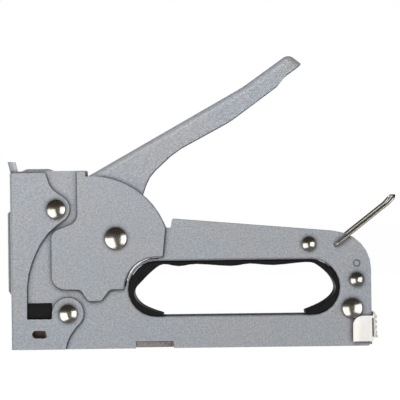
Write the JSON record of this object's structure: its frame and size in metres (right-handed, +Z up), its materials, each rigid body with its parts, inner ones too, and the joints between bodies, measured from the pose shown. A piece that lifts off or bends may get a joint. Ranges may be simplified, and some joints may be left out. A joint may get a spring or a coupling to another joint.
{
  "type": "staple gun",
  "caption": "Hand staple gun with a squeeze lever, spring-driven striker, sliding staple pusher and a wire bail that locks the lever.",
  "frame": {"origin": "on the ground under the nose, in the middle of the front wall's thickness and of the width", "axes": "+X from the nose to the rear, +Y across the tool, away from the pictured side, +Z up"},
  "size_m": [0.1951, 0.029, 0.1458],
  "materials": {
    "hammered_grey_paint": "satin hammertone",
    "nickel": "bright nickel plate",
    "spring_steel": "oiled steel",
    "black_plastic": "matt",
    "black_rubber": "matt",
    "bronzed_steel": "brown chromate on steel"
  },
  "bodies": {
    "body": {"left_shell": "hammered_grey_paint", "right_shell": "hammered_grey_paint", "front_bracket": "hammered_grey_paint", "spring_cap": "hammered_grey_paint", "pivot_rivet": "nickel", "front_upper_rivet": "nickel", "front_lower_rivet": "nickel", "grip_rear_rivet": "nickel", "rear_middle_rivet": "nickel", "rear_lower_rivet": "nickel", "front_upper_sleeve": "spring_steel", "front_lower_sleeve": "spring_steel", "grip_rear_sleeve": "spring_steel", "rear_middle_sleeve": "spring_steel", "rear_lower_sleeve": "spring_steel", "grip_liner": "black_plastic", "bumper": "black_rubber", "magazine_channel": "nickel", "main_spring": "spring_steel", "lever_return_spring": "spring_steel"},
    "lever": {"lever": "hammered_grey_paint", "lever_claw": "spring_steel", "claw_pin": "spring_steel", "lever_bush": "spring_steel"},
    "plunger": {"plunger": "spring_steel", "striker": "spring_steel", "striker_pin_left": "spring_steel", "striker_pin_right": "spring_steel"},
    "bail": {"lock_bail": "nickel"},
    "pusher": {"pusher_latch": "nickel", "pusher_rail": "nickel", "pusher_rod": "nickel", "rail_nose": "nickel", "pusher_spring": "spring_steel"},
    "follower": {"staple_follower": "bronzed_steel"}
  },
  "joints": [
    {"name": "lever_squeeze", "type": "hinge", "parent": "body", "child": "lever", "pos_m": [0.05215, 0, 0.0555], "axis": [0, 1, 0], "range_deg": [0, 33], "stiffness_Nm_per_rad": 0.3, "springref_deg": -57.3, "deforming": ["lever_return_spring"]},
    {"name": "plunger_lift", "type": "slide", "parent": "body", "child": "plunger", "axis": [0, 0, 1], "range_m": [0, 0.0165], "stiffness_N_per_m": 400, "springref_m": -0.02, "deforming": ["main_spring"]},
    {"name": "bail_swing", "type": "hinge", "parent": "body", "child": "bail", "pos_m": [0.1622, 0, 0.0507], "axis": [0, 1, 0], "range_deg": [-70, 70]},
    {"name": "pusher_slide", "type": "slide", "parent": "body", "child": "pusher", "axis": [1, 0, 0], "range_m": [0, 0.17]},
    {"name": "follower_slide", "type": "slide", "parent": "pusher", "child": "follower", "axis": [1, 0, 0], "range_m": [0, 0.09], "stiffness_N_per_m": 40, "springref_m": -0.05, "deforming": ["pusher_spring"]}
  ],
  "couplings": [
    {"joint": "plunger_lift", "follows": "lever_squeeze", "m_per_rad": 0.02858}
  ]
}
